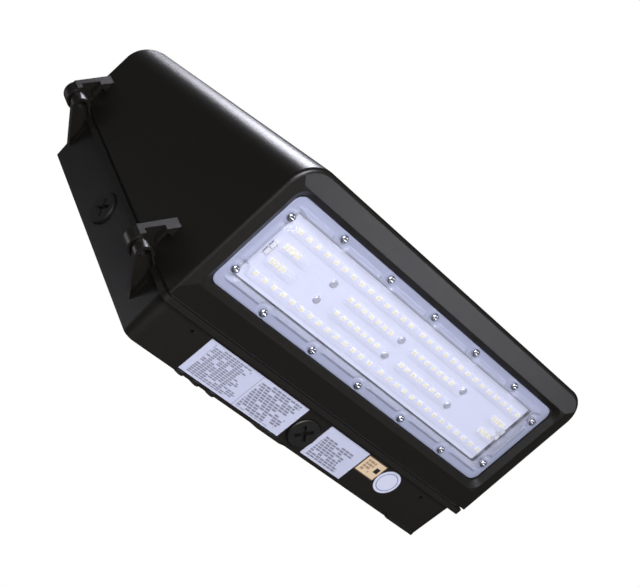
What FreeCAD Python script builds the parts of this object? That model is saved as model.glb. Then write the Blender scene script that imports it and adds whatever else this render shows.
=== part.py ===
"""Full-cutoff LED wall pack light: back box, hinged front housing, lens, board, driver and fasteners.

Millimetres. X runs to the right as one faces the wall, Y into the wall, Z up. The origin is on the
wall face of the back box, in the middle of the housing's width and height.
"""

import FreeCAD, Part
import math
import os
import re
import Sketcher

V = FreeCAD.Vector

SIZES = {
    # housing, outside
    "housing_width": 304, "housing_height": 237, "box_depth": 37, "seam_gap": 2, "door_depth": 112,
    "top_depth": 57, "top_fall": 1.5, "door_wall": 4, "slope_stretch": 1.03, "rear_fit": 0.3,
    "turn_fit": 0.1, "screw_fit": 0.05, "screw_clearance": 0.4, "overshoot": 1,
    "front_round": 18, "brow_round": 11, "crown_round": 6, "frame_round": 2.5,
    # back box
    "flange_thick": 4, "flange_round": 5, "box_side_inset": 4, "box_bottom_inset": 4,
    "box_top_inset": 16, "box_taper": 2.4, "box_wall": 3, "box_round": 6,
    "gasket_inset": 2.5, "gasket_width": 4.2,
    "wall_bolt_span_x": 220, "wall_bolt_span_z": 150, "wall_bolt_hole": 6.5,
    "ear": 9, "ear_pitch": 13.9, "ear_middle": -86.6, "ear_drop": 2.5, "rear_rib": 2.4,
    "foot_drop": 2, "bulge_middle": -17, "bulge_long": 46, "bulge_ramp": 12, "foot_middle": 125,
    "foot_long": 32, "foot_ramp": 1,
    "weep_hole": 2.5, "weep_from_centre": 117.5, "weep_from_wall": 26.4, "weep_depth": 13.4,
    # conduit entries and plugs
    "entry_thread": 19.8, "entry_boss": 28, "entry_boss_height": 5, "side_entry_from_wall": 18,
    "side_entry_rise": 2, "low_entry_from_wall": 15.2, "low_entry_right": 1.5, "spot_face": 23,
    "spot_face_depth": 1.4, "rear_entry_drop": 45, "plug_head": 22, "plug_head_height": 2.4,
    "plug_chamfer": 0.6, "plug_thread_length": 7, "plug_slot_length": 13, "plug_slot_width": 2.8,
    "plug_slot_depth": 3.2, "washer_thick": 0.8, "washer_inset": 0.4, "washer_fit": 0.15,
    "grommet_bore": 13.6, "grommet_flange": 2, "grommet_flange_thick": 1.6,
    # hinges
    "hinge_offset": 9.2, "lower_arm_top": 49.5, "hinge_spacing": 179.5, "arm_thick": 5.5,
    "arm_skirt": 10.5, "knuckle_round": 8.2, "skirt_wall": 1.6, "arm_reach": 24.3, "arm_corner": 6,
    "arm_lap": 1, "arm_toe": 6.8, "arm_heel": 2, "arm_heel_step": 3, "arm_seam_gap": 1.9,
    "window_side": 4.5, "window_front": 3, "window_gap": 0.2,
    "leg_out": 5.6, "leg_slant": 6.3, "leg_thick": 2.2, "leg_root": 8,
    "toe_long": 2.4, "toe_slant": 2.7, "toe_thick": 1.2, "toe_rear": 3,
    "post_diameter": 12.2, "post_height": 7.5, "post_core": 7.8, "post_core_depth": 7.6,
    "lug_height": 6.5, "lug_reach": 27, "lug_wall": 1.5, "lug_lap": 1, "lug_side_x": 0.81,
    "lug_side_y": 0.59, "lug_core_gap": 1.2, "lug_core_lap": 0.4,
    "pin_diameter": 5, "pin_length": 10.5, "pin_seat": 5.5, "pin_chamfer": 0.5,
    # door screws
    "screw_lug_span": 120, "screw_lug_reach": 13, "screw_lug_height": 16, "screw_lug_thick": 9,
    "screw_lug_round": 2, "screw_lug_lap": 3, "screw_hole_out": 7,
    "door_screw": 5, "door_screw_point": 0.7, "door_screw_neck": 3.6, "door_screw_tip": 9,
    "door_screw_head": 10, "door_screw_head_height": 5, "door_screw_chamfer": 1,
    "door_screw_slot": 1.6, "door_screw_slot_depth": 2, "door_screw_travel": 10,
    # lens and frame
    "lens_long": 275, "lens_short": 72.6, "lens_round": 7, "lens_front_border": 15.7,
    "recess_rim": 4.8, "recess_round": 9, "recess_depth": 3, "lens_setback": 3.9, "lens_thick": 2.5,
    "lens_fit": 0.5, "lens_crown": 1.9, "lens_crown_margin": 5.2, "lens_crown_round": 4,
    "lens_scallop": 12.5, "lens_gasket": 1.5, "lens_gasket_width": 9, "lens_gasket_fit": 0.5,
    "lens_gasket_round": 2, "lens_ridge": 7, "lens_ridge_height": 0.9, "lens_ridge_long": 244,
    "lens_screw_pitch": 46.6, "lens_screw_row": 32.2, "lens_screw_end": 130.4, "lens_end_row": 21.8,
    "lens_screw": 3, "lens_screw_length": 12, "lens_screw_head": 5.6, "lens_screw_head_height": 2.2,
    # board and LEDs
    "board_long": 250, "board_short": 51, "board_thick": 1.6, "board_round": 1.5, "board_fit": 0.6,
    "row_pitch": 11.8, "led_shift": 2.9, "long_run_pitch": 8.6, "long_run_gap": 12.6,
    "mid_run_middle": 33.8, "mid_run_pitch": 6.9, "end_run_middle": 111.2, "end_run_pitch": 3.5,
    "led_long": 3, "led_wide": 2.8, "led_high": 0.7,
    "board_screw": 3, "board_screw_length": 5, "board_screw_head": 5.5,
    "board_screw_head_height": 1.4, "board_screw_pitch": 70, "board_screw_row": 7,
    "floor_thick": 4, "floor_skin": 0.4,
    # bosses, fins and driver
    "boss_diameter": 9, "boss_height": 6, "fin_height": 9, "fin_thick": 2, "fin_pitch": 13,
    "fin_length": 190, "plate_rear": 14, "standoff": 14, "standoff_span_x": 140,
    "standoff_span_y": 56, "standoff_diameter": 9, "plate_thick": 1.5, "plate_long": 204,
    "plate_margin": 7, "plate_round": 3, "driver_from": 92, "driver_long": 130, "driver_wide": 43,
    "driver_high": 32, "driver_round": 2, "driver_screw": 4, "driver_screw_length": 8,
    "driver_screw_head": 7.5, "driver_screw_head_height": 2.6, "surge_long": 36, "surge_wide": 32,
    "surge_high": 20, "surge_round": 3, "surge_from": 50, "wire_hole": 9, "wire_hole_from_end": 16,
    # wiring in the back box
    "terminal_long": 42, "terminal_high": 17, "terminal_deep": 15, "terminal_round": 1.5,
    "terminal_pitch": 10, "terminal_row": 4.5, "terminal_well": 5.5, "terminal_well_depth": 6,
    "terminal_side": 70, "terminal_screw": 3, "terminal_screw_head": 5.2,
    "terminal_screw_head_height": 2, "pad_height": 4, "pad_diameter": 9, "pad_thread": 5.5,
    "ground_side": 110, "ground_screw": 4, "ground_screw_head": 8, "ground_screw_head_height": 2.6,
    # labels
    "label_thick": 0.3, "label_large_long": 92.9, "label_large_short": 27.4, "label_large_from": 103.5,
    "label_medium_long": 40.8, "label_medium_from": 13.1, "label_small_long": 20.4,
    "label_small_short": 14.8, "label_small_from": 54.5, "label_small_from_wall": 22.7,
    "label_round": 19.4, "label_round_from": 85, "label_round_from_wall": 20.9,
    "label_from_wall": 16.6,
}

# A pan head in shares of its height and width: edge round, cross length, cross width, cross floor.
HEAD_ROUND = 0.6
CROSS_LONG = 0.55
CROSS_WIDE = 0.13
CROSS_FLOOR = 0.4

doc = FreeCAD.newDocument("wall_pack_light")
sizes = doc.addObject("Spreadsheet::Sheet", "sizes")
for row, (word, number) in enumerate(SIZES.items(), start=1):
    sizes.set(f"A{row}", word)
    sizes.set(f"B{row}", str(number))
    sizes.setAlias(f"B{row}", word)
doc.recompute()

# Places that several pieces share, as formulas of the sizes.
SIDE = "(housing_width / 2)"
TOP = "(housing_height / 2)"
BOTTOM = "(-housing_height / 2)"
FLANGE = "(-box_depth)"
RIM = "(-box_depth - seam_gap)"
LIP = "(-box_depth - seam_gap - door_depth)"
BOX_SIDE = "(housing_width / 2 - box_side_inset)"
BOX_TOP = "(housing_height / 2 - box_top_inset)"
BOX_BOTTOM = "(-housing_height / 2 + box_bottom_inset)"
LENS_Y = f"({LIP} + lens_front_border + recess_rim + lens_short / 2)"
LENS_FACE = f"({BOTTOM} + lens_setback)"
LENS_BACK = f"({BOTTOM} + lens_setback + lens_thick)"
LEDGE = f"({BOTTOM} + lens_setback + lens_thick + lens_gasket)"
BOARD_SEAT = f"({LEDGE} + board_thick)"
FLOOR = f"({BOARD_SEAT} + floor_thick)"
HINGE_X = "(-housing_width / 2 - hinge_offset)"
HINGE_Y = "(-box_depth - seam_gap / 2)"
PLATE = f"({FLOOR} + standoff)"
PLATE_Y = f"({LENS_Y} + plate_rear)"
PAD = "(-box_wall - pad_height)"
LUG_ROOT = "(-housing_width / 2 + box_side_inset + box_taper)"
LUG_SCREW_X = f"({SIDE} + screw_hole_out)"
TERMINAL_SCREWS = ("-terminal_side - terminal_long / 4", "-terminal_side + terminal_long / 4")

NODES = []


def linked(formula):
    """The formula with every size name spelt as a cell of the sheet."""
    return re.sub(r"[a-z_]+", lambda m: f"sizes.{m.group(0)}" if m.group(0) in SIZES else m.group(0), formula)


def size(formula):
    """The value of a formula of the sheet's sizes."""
    values = {word: sizes.get(word) for word in SIZES}
    return calculate(formula, values)


def calculate(formula, values):
    """Work out a formula that holds sizes, numbers, brackets and + - * / only."""
    tokens = re.findall(r"[a-z_]+|\d+\.?\d*|[-+*/()]", formula)
    position = [0]

    def take():
        position[0] += 1
        return tokens[position[0] - 1]

    def ahead():
        return tokens[position[0]] if position[0] < len(tokens) else ""

    def atom():
        token = take()
        if token == "-":
            return -atom()
        if token == "(":
            inside = total()
            take()
            return inside
        return float(values[token]) if token in values else float(token)

    def product():
        result = atom()
        while ahead() in ("*", "/"):
            result = result * atom() if take() == "*" else result / atom()
        return result

    def total():
        result = product()
        while ahead() in ("+", "-"):
            result = result + product() if take() == "+" else result - product()
        return result

    return total()


def node(thing, label):
    """Name a finished piece and put it on the list that is written out."""
    thing.Label = label
    NODES.append(thing)
    return thing


def bind(thing, **formulas):
    """Tie properties of a feature to formulas of the sheet."""
    for name, formula in formulas.items():
        thing.setExpression(name, linked(formula))
    return thing


def body(name):
    return doc.addObject("PartDesign::Body", name)


def sketch(owner, role, offset="0"):
    """An empty sketch on an origin plane of its body, moved along the plane's normal."""
    profile = owner.newObject("Sketcher::SketchObject", "profile")
    plane = [o for o in owner.Origin.OriginFeatures if o.Role == role][0]
    profile.AttachmentSupport = [(plane, "")]
    profile.MapMode = "FlatFace"
    profile.setExpression("AttachmentOffset.Base.z", linked(offset))
    return profile


def dimension(profile, kind, *where, formula):
    """A driven length or place, tied to the sheet."""
    index = profile.addConstraint(Sketcher.Constraint(kind, *where, size(formula)))
    profile.setExpression(f"Constraints[{index}]", linked(formula))


def polygon(profile, corners):
    """A closed outline of straight lines through corners given as pairs of formulas."""
    points = [V(size(x), size(y), 0) for x, y in corners]
    first = profile.GeometryCount
    for start, end in zip(points, points[1:] + points[:1]):
        profile.addGeometry(Part.LineSegment(start, end))
    for i, (x, y) in enumerate(corners):
        after = first + (i + 1) % len(points)
        profile.addConstraint(Sketcher.Constraint("Coincident", first + i, 2, after, 1))
        dimension(profile, "DistanceX", -1, 1, first + i, 1, formula=x)
        dimension(profile, "DistanceY", -1, 1, first + i, 1, formula=y)


def circle(profile, x, y, diameter):
    """A circle at a place given by formulas."""
    index = profile.GeometryCount
    profile.addGeometry(Part.Circle(V(size(x), size(y), 0), V(0, 0, 1), size(diameter) / 2))
    dimension(profile, "DistanceX", -1, 1, index, 3, formula=x)
    dimension(profile, "DistanceY", -1, 1, index, 3, formula=y)
    dimension(profile, "Diameter", index, formula=diameter)


def rounded(profile, left, right, low, high, radius):
    """A rectangle with round corners; an arc at each corner, joined by four lines."""
    first = profile.GeometryCount
    radius = f"({radius})"
    r = size(radius)
    corners = [(right, high, -1, -1), (left, high, 1, -1), (left, low, 1, 1), (right, low, -1, 1)]
    for i, (x, y, sx, sy) in enumerate(corners):
        centre = V(size(x) + sx * r, size(y) + sy * r, 0)
        ring = Part.Circle(centre, V(0, 0, 1), r)
        profile.addGeometry(Part.ArcOfCircle(ring, i * math.pi / 2, (i + 1) * math.pi / 2))
    for i, (x, y, sx, sy) in enumerate(corners):
        dimension(profile, "DistanceX", -1, 1, first + i, 3, formula=f"{x} {'+' if sx > 0 else '-'} {radius}")
        dimension(profile, "DistanceY", -1, 1, first + i, 3, formula=f"{y} {'+' if sy > 0 else '-'} {radius}")
        dimension(profile, "Radius", first + i, formula=radius)
        across, along = ("Horizontal", "Vertical") if i % 2 == 0 else ("Vertical", "Horizontal")
        profile.addConstraint(Sketcher.Constraint(across, first + i, 3, first + i, 1))
        profile.addConstraint(Sketcher.Constraint(along, first + i, 3, first + i, 2))
    geometry = profile.Geometry
    for i in range(4):
        start = geometry[first + i].EndPoint
        end = geometry[first + (i + 1) % 4].StartPoint
        line = profile.addGeometry(Part.LineSegment(start, end))
        profile.addConstraint(Sketcher.Constraint("Coincident", line, 1, first + i, 2))
        profile.addConstraint(Sketcher.Constraint("Coincident", line, 2, first + (i + 1) % 4, 1))


def extrude(kind, owner, profile, length, both=False, back=False, **formulas):
    """A Pad or a Pocket of a sketch, with its length tied to the sheet."""
    doc.recompute()
    feature = owner.newObject(f"PartDesign::{kind}", kind.lower())
    feature.Profile = profile
    feature.Reversed = back
    if both:
        feature.SideType = "Symmetric"
    bind(feature, Length=length, **formulas)
    doc.recompute()
    return feature


def pad(owner, profile, length, **options):
    return extrude("Pad", owner, profile, length, **options)


def pocket(owner, profile, length, **options):
    return extrude("Pocket", owner, profile, length, **options)


def edges(shape, wanted):
    """The names of the edges whose middle and direction satisfy a test."""
    names = []
    for i, edge in enumerate(shape.Edges, start=1):
        low, high = edge.ParameterRange
        middle = edge.valueAt((low + high) / 2)
        run = edge.valueAt(high) - edge.valueAt(low)
        if wanted(middle, run):
            names.append(f"Edge{i}")
    return names


def round_edges(owner, radius, wanted):
    """Round the edges of a body's last feature that a test picks."""
    base = owner.Tip
    feature = owner.newObject("PartDesign::Fillet", "rounding")
    feature.Base = (base, edges(base.Shape, wanted))
    bind(feature, Radius=radius)
    doc.recompute()
    return feature


def turned(name, steps):
    """A turned piece about Z: steps of (radius, height) formulas from the bottom up."""
    owner = body(name)
    profile = sketch(owner, "XZ_Plane")
    corners = [("0", steps[0][1])] + list(steps) + [("0", steps[-1][1])]
    polygon(profile, corners)
    doc.recompute()
    feature = owner.newObject("PartDesign::Revolution", "turning")
    feature.Profile = profile
    feature.ReferenceAxis = (profile, ["V_Axis"])
    feature.Angle = 360
    doc.recompute()
    return owner


def group(name, solids):
    """Identical pieces that share one node, as separate solids."""
    feature = doc.addObject("Part::Feature", name)
    feature.Shape = Part.Compound(solids)
    return node(feature, name)


def placed(shape, x, y, z, turn=None):
    """A copy of a shape at a place given by formulas."""
    copy = shape.copy()
    copy.Placement = FreeCAD.Placement(V(size(x), size(y), size(z)), turn or FreeCAD.Rotation())
    return copy


# ---------------------------------------------------------------- back box

def lug_outline():
    """Plan of a hinge lug: a three-sided bracket from the post to the left wall of the box."""
    r = "post_diameter / 2"
    return [
        (HINGE_X, f"{HINGE_Y} - {r}"),
        ("-housing_width / 2 + lug_lap", FLANGE),
        (LUG_ROOT, FLANGE),
        (LUG_ROOT, f"{FLANGE} + lug_reach"),
        (f"{HINGE_X} - lug_side_x * {r}", f"{HINGE_Y} + lug_side_y * {r}"),
    ]


def lug_core_outline():
    """Plan of the hollow under a hinge lug, a wall thickness inside its outline."""
    r = "(post_diameter / 2 - lug_wall)"
    return [
        (HINGE_X, f"{HINGE_Y} - {r}"),
        ("-housing_width / 2 - lug_core_gap", FLANGE),
        ("-housing_width / 2 + box_side_inset - lug_core_lap", f"{FLANGE} + flange_thick"),
        (f"{LUG_ROOT} - lug_core_gap", f"{FLANGE} + lug_reach + lug_lap - 2 * lug_wall"),
        (f"{HINGE_X} - lug_side_x * {r}", f"{HINGE_Y} + lug_side_y * {r}"),
    ]


def hinge_lug(owner, arm_top):
    """A cored lug on the left wall with the post that carries a hinge pin."""
    post_top = f"{arm_top} - arm_thick - rear_fit"
    base = f"{post_top} - post_height"
    bracket = sketch(owner, "XY_Plane", base)
    polygon(bracket, lug_outline())
    pad(owner, bracket, "lug_height", back=True)
    post = sketch(owner, "XY_Plane", post_top)
    circle(post, HINGE_X, HINGE_Y, "post_diameter")
    pad(owner, post, "post_height + lug_height", back=True)
    core = sketch(owner, "XY_Plane", f"{base} - lug_height")
    polygon(core, lug_core_outline())
    pocket(owner, core, "lug_height - lug_wall", back=True)
    hollow = sketch(owner, "XY_Plane", f"{base} - lug_height")
    circle(hollow, HINGE_X, HINGE_Y, "post_core")
    pocket(owner, hollow, "post_core_depth", back=True)
    seat = sketch(owner, "XY_Plane", post_top)
    circle(seat, HINGE_X, HINGE_Y, "pin_diameter")
    pocket(owner, seat, "pin_seat")


def box_screw_lug(owner, z):
    """A lug on the right of the flange, tapped for a door screw."""
    profile = sketch(owner, "XZ_Plane", "box_depth")
    rounded(profile, f"{SIDE} - screw_lug_lap", f"{SIDE} + screw_lug_reach", f"{z} - screw_lug_height / 2",
            f"{z} + screw_lug_height / 2", "screw_lug_round")
    pad(owner, profile, "screw_lug_thick + screw_lug_lap", back=True)
    hole = sketch(owner, "XZ_Plane", "box_depth")
    circle(hole, LUG_SCREW_X, z, "door_screw + 2 * screw_fit")
    pocket(owner, hole, "screw_lug_thick + screw_lug_lap")


def back_box():
    owner = body("back_box_body")
    lean = "atan(box_taper / (box_depth - flange_thick))"
    shell = sketch(owner, "XZ_Plane")
    rounded(shell, f"-{BOX_SIDE} + box_taper", f"{BOX_SIDE} - box_taper", f"{BOX_BOTTOM} + box_taper",
            f"{BOX_TOP} - box_taper", "box_round")
    pad(owner, shell, "box_depth - flange_thick", TaperAngle=lean)
    flange = sketch(owner, "XZ_Plane", "box_depth - flange_thick")
    rounded(flange, f"-{SIDE}", SIDE, BOTTOM, TOP, "flange_round")
    pad(owner, flange, "flange_thick")
    cavity = sketch(owner, "XZ_Plane", "box_wall")
    rounded(cavity, f"-{BOX_SIDE} + box_taper + box_wall", f"{BOX_SIDE} - box_taper - box_wall",
            f"{BOX_BOTTOM} + box_taper + box_wall", f"{BOX_TOP} - box_taper - box_wall", "box_round")
    pocket(owner, cavity, "box_depth - box_wall + overshoot", back=True, TaperAngle=lean)
    rear_details(owner)
    entries(owner)
    for arm_top in (f"{BOTTOM} + lower_arm_top", f"{BOTTOM} + lower_arm_top + hinge_spacing"):
        hinge_lug(owner, arm_top)
    for z in ("-screw_lug_span / 2", "screw_lug_span / 2"):
        box_screw_lug(owner, z)
    return node(owner, "back_box")


def rear_details(owner):
    """Half-round ears on the lower rear edge, pads for the wiring, wall holes and weep holes."""
    ears = sketch(owner, "XZ_Plane")
    for x in ("ear_middle - ear_pitch", "ear_middle", "ear_middle + ear_pitch"):
        circle(ears, x, f"{BOX_BOTTOM} + box_taper + ear / 2 - ear_drop", "ear")
    pad(owner, ears, "rear_rib")
    low = f"({BOX_BOTTOM} + box_taper - foot_drop)"
    feet = (("bulge_middle", "bulge_long", "bulge_ramp"), ("foot_middle", "foot_long", "foot_ramp"))
    for middle, long, ramp in feet:
        foot = sketch(owner, "XZ_Plane")
        polygon(foot, [
            (f"{middle} - {long} / 2", f"{low} + 2 * foot_drop"),
            (f"{middle} - {long} / 2 + {ramp}", low),
            (f"{middle} + {long} / 2 - {ramp}", low),
            (f"{middle} + {long} / 2", f"{low} + 2 * foot_drop"),
        ])
        pad(owner, foot, "rear_rib")
    pads = sketch(owner, "XZ_Plane", "box_wall")
    for x in (*TERMINAL_SCREWS, "ground_side"):
        circle(pads, x, "0", "pad_diameter")
    pad(owner, pads, "pad_height")
    screws = sketch(owner, "XZ_Plane", "box_wall + pad_height")
    for x in TERMINAL_SCREWS:
        circle(screws, x, "0", "terminal_screw")
    circle(screws, "ground_side", "0", "ground_screw")
    pocket(owner, screws, "pad_thread")
    holes = sketch(owner, "XZ_Plane", "box_wall")
    for x in ("-wall_bolt_span_x / 2", "wall_bolt_span_x / 2"):
        for z in ("-wall_bolt_span_z / 2", "wall_bolt_span_z / 2"):
            circle(holes, x, z, "wall_bolt_hole")
    pocket(owner, holes, "box_wall + overshoot")
    weeps = sketch(owner, "XY_Plane", BOTTOM)
    for x in ("-weep_from_centre", "weep_from_centre"):
        circle(weeps, x, "-weep_from_wall", "weep_hole")
    pocket(owner, weeps, "weep_depth", back=True)


def wall_place(from_wall):
    """How far the tapered wall has grown outward, from its rear edge, at a distance from the wall."""
    return f"(box_taper * {from_wall} / (box_depth - flange_thick) - box_taper)"


SIDE_SEAT = f"({BOX_SIDE} + {wall_place('side_entry_from_wall')} - spot_face_depth)"
TOP_SEAT = f"({BOX_TOP} + {wall_place('low_entry_from_wall')} - spot_face_depth)"
LOW_SEAT = f"({BOX_BOTTOM} - {wall_place('low_entry_from_wall')} + spot_face_depth)"


def entries(owner):
    """Tapped conduit entries in the left, right, lower, upper and rear walls, with inner bosses."""
    walls = [
        ("YZ_Plane", f"-{SIDE_SEAT}", "-side_entry_from_wall", "side_entry_rise", False),
        ("YZ_Plane", SIDE_SEAT, "-side_entry_from_wall", "side_entry_rise", True),
        ("XY_Plane", LOW_SEAT, "low_entry_right", "-low_entry_from_wall", False),
        ("XY_Plane", TOP_SEAT, "low_entry_right", "-low_entry_from_wall", True),
    ]
    for plane, seat, x, y, far in walls:
        inward = "-" if far else "+"
        boss = sketch(owner, plane, f"{seat} {inward} box_wall / 2")
        circle(boss, x, y, "entry_boss")
        pad(owner, boss, "entry_boss_height", back=far)
        spot = sketch(owner, plane, seat)
        circle(spot, x, y, "spot_face")
        pocket(owner, spot, "spot_face_depth + box_taper", back=far)
        bore = sketch(owner, plane, seat)
        circle(bore, x, y, "entry_thread")
        pocket(owner, bore, "entry_boss_height + 2 * box_wall", back=not far)
    boss = sketch(owner, "XZ_Plane", "box_wall")
    circle(boss, "0", "-rear_entry_drop", "entry_boss")
    pad(owner, boss, "entry_boss_height")
    bore = sketch(owner, "XZ_Plane", "box_wall + entry_boss_height")
    circle(bore, "0", "-rear_entry_drop", "entry_thread")
    pocket(owner, bore, "entry_boss_height + box_wall + overshoot")


def hinge_pin(name, arm_top):
    """A steel pin, pressed into its post and standing up into the arm."""
    owner = turned(name + "_body", [
        ("pin_diameter / 2", "0"),
        ("pin_diameter / 2", "pin_length - pin_chamfer"),
        ("pin_diameter / 2 - pin_chamfer", "pin_length"),
    ])
    foot = f"{arm_top} - arm_thick - rear_fit - pin_seat"
    owner.setExpression("Placement.Base.x", linked(HINGE_X))
    owner.setExpression("Placement.Base.y", linked(HINGE_Y))
    owner.setExpression("Placement.Base.z", linked(foot))
    return node(owner, name)


def door_gasket():
    owner = body("door_gasket_body")
    ring = sketch(owner, "XZ_Plane", "box_depth")
    rounded(ring, f"-{SIDE} + gasket_inset", f"{SIDE} - gasket_inset", f"{BOTTOM} + gasket_inset",
            f"{TOP} - gasket_inset", "flange_round")
    inner = "(gasket_inset + gasket_width)"
    rounded(ring, f"-{SIDE} + {inner}", f"{SIDE} - {inner}", f"{BOTTOM} + {inner}", f"{TOP} - {inner}",
            "flange_round / 2")
    pad(owner, ring, "seam_gap - rear_fit")
    return node(owner, "door_gasket")


def plug_shape():
    """A conduit plug with its head up: thread below, raised disc with crossed slots above."""
    owner = turned("plug_pattern", [
        ("entry_thread / 2 - screw_fit", "-plug_thread_length"),
        ("entry_thread / 2 - screw_fit", "0"),
        ("plug_head / 2", "0"),
        ("plug_head / 2", "plug_head_height - plug_chamfer"),
        ("plug_head / 2 - plug_chamfer", "plug_head_height"),
    ])
    for across in (False, True):
        slot = sketch(owner, "XY_Plane", "plug_head_height")
        ends = ("plug_slot_length / 2", "-plug_slot_length / 2")
        sides = ("plug_slot_width / 2", "-plug_slot_width / 2")
        run = [(ends[0], sides[0]), (ends[1], sides[0]), (ends[1], sides[1]), (ends[0], sides[1])]
        polygon(slot, [(y, x) for x, y in run] if across else run)
        pocket(owner, slot, "plug_slot_depth")
    return owner.Shape


def plugs():
    """Four plugs, each on a sealing washer in the spot face of its wall, their slots set diagonally."""
    shape = plug_shape()
    washer = Part.makeCylinder(size("plug_head / 2 - washer_inset"), size("washer_thick"))
    washer = washer.cut(Part.makeCylinder(size("entry_thread / 2 + washer_fit"), size("washer_thick")))
    diagonal = FreeCAD.Rotation(V(0, 0, 1), 45)
    walls = {
        "left": (f"-{SIDE_SEAT}", "-side_entry_from_wall", "side_entry_rise", V(-1, 0, 0)),
        "right": (SIDE_SEAT, "-side_entry_from_wall", "side_entry_rise", V(1, 0, 0)),
        "bottom": ("low_entry_right", "-low_entry_from_wall", LOW_SEAT, V(0, 0, -1)),
        "top": ("low_entry_right", "-low_entry_from_wall", TOP_SEAT, V(0, 0, 1)),
    }
    washers = []
    for side, (x, y, z, outward) in walls.items():
        turn = FreeCAD.Rotation(V(0, 0, 1), outward)
        washers.append(placed(washer, x, y, z, turn))
        seat = V(size(x), size(y), size(z)) + turn.multVec(V(0, 0, size("washer_thick")))
        piece = doc.addObject("Part::Feature", f"conduit_plug_{side}")
        piece.Shape = shape
        piece.Placement = FreeCAD.Placement(seat, turn.multiply(diagonal))
        node(piece, f"conduit_plug_{side}")
    group("plug_washers", washers)


def wire_grommet():
    owner = turned("wire_grommet_body", [
        ("entry_thread / 2 - screw_fit", "0"),
        ("entry_thread / 2 - screw_fit", "entry_boss_height + box_wall"),
        ("entry_thread / 2 + grommet_flange", "entry_boss_height + box_wall"),
        ("entry_thread / 2 + grommet_flange", "entry_boss_height + box_wall + grommet_flange_thick"),
    ])
    bore = sketch(owner, "XY_Plane")
    circle(bore, "0", "0", "grommet_bore")
    pocket(owner, bore, "entry_boss_height + box_wall + grommet_flange_thick + overshoot", back=True)
    owner.Placement = FreeCAD.Placement(V(0, 0, 0), FreeCAD.Rotation(V(1, 0, 0), 90))
    owner.setExpression("Placement.Base.z", linked("-rear_entry_drop"))
    return node(owner, "wire_grommet")


def wiring():
    """Terminal block, its screws and the ground screw, on pads of the back wall."""
    owner = body("terminal_block_body")
    base = sketch(owner, "XZ_Plane", "box_wall + pad_height")
    rounded(base, "-terminal_side - terminal_long / 2", "-terminal_side + terminal_long / 2",
            "-terminal_high / 2", "terminal_high / 2", "terminal_round")
    pad(owner, base, "terminal_deep")
    wells = sketch(owner, "XZ_Plane", "box_wall + pad_height + terminal_deep")
    for step in (-1.5, -0.5, 0.5, 1.5):
        for z in ("-terminal_row", "terminal_row"):
            circle(wells, f"-terminal_side + {step} * terminal_pitch", z, "terminal_well")
    pocket(owner, wells, "terminal_well_depth")
    holes = sketch(owner, "XZ_Plane", "box_wall + pad_height + terminal_deep")
    for x in TERMINAL_SCREWS:
        circle(holes, x, "0", "terminal_screw + 2 * screw_fit")
    pocket(owner, holes, "terminal_deep + overshoot")
    node(owner, "terminal_block")
    forward = FreeCAD.Rotation(V(1, 0, 0), 90)
    screw = pan_screw("terminal_screw", "terminal_deep + pad_height")
    face = f"{PAD} - terminal_deep"
    group("terminal_screws", [placed(screw, x, face, "0", forward) for x in TERMINAL_SCREWS])
    ground = pan_screw("ground_screw", "pad_height + overshoot")
    group("ground_screw", [placed(ground, "ground_side", PAD, "0", forward)])


def pan_screw(name, length, cross=True):
    """A named pan-head screw standing on z = 0 with its head up and its shank below."""
    radius = size(f"{name} / 2 - screw_fit")
    head = size(f"{name}_head")
    high = size(f"{name}_head_height")
    shank = Part.makeCylinder(radius, size(length), V(0, 0, -size(length)))
    cap = Part.makeCylinder(head / 2, high)
    rim = [e for e in cap.Edges if abs(e.BoundBox.ZMin - high) < 1e-6 and e.BoundBox.XLength > head / 2]
    screw = shank.fuse(cap.makeFillet(high * HEAD_ROUND, rim)).removeSplitter()
    if not cross:
        return screw
    long = head * CROSS_LONG
    wide = head * CROSS_WIDE
    for turn in (0, 90):
        slot = Part.makeBox(long, wide, high, V(-long / 2, -wide / 2, high * CROSS_FLOOR))
        slot.rotate(V(0, 0, 0), V(0, 0, 1), turn)
        screw = screw.cut(slot)
    return screw


def label(name, x, from_wall, outline):
    """A blank label: a thin sheet on the sloping lower wall, its middle at x and from_wall."""
    lean = math.degrees(math.atan(size("box_taper / (box_depth - flange_thick)")))
    piece = doc.addObject("Part::Feature", name)
    piece.Shape = Part.Face(outline).extrude(V(0, 0, -size("label_thick")))
    turn = FreeCAD.Rotation(V(1, 0, 0), lean)
    low = size(f"{BOX_BOTTOM} - {wall_place(from_wall)}")
    piece.Placement = FreeCAD.Placement(V(size(x), -size(from_wall), low), turn)
    return node(piece, name)


def rectangle(long, short):
    """The outline of a flat rectangle about the origin."""
    corners = [V(long / 2, short / 2, 0), V(-long / 2, short / 2, 0), V(-long / 2, -short / 2, 0),
               V(long / 2, -short / 2, 0)]
    return Part.makePolygon(corners + corners[:1])


def labels():
    """The four blank labels of the lower wall."""
    label("label_large", "-label_large_from + label_large_long / 2", "label_from_wall",
          rectangle(size("label_large_long"), size("label_large_short")))
    label("label_medium", "label_medium_from + label_medium_long / 2", "label_from_wall",
          rectangle(size("label_medium_long"), size("label_large_short")))
    label("label_small", "label_small_from + label_small_long / 2", "label_small_from_wall",
          rectangle(size("label_small_long"), size("label_small_short")))
    label("label_round", "label_round_from", "label_round_from_wall",
          Part.Wire(Part.makeCircle(size("label_round / 2"))))


# ---------------------------------------------------------------- door

def outer_profile():
    """Side view of the housing, seen along X: rim, top, brow and lip."""
    return [(RIM, BOTTOM), (RIM, TOP), (f"{RIM} - top_depth", f"{TOP} - top_fall"), (LIP, BOTTOM)]


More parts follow.
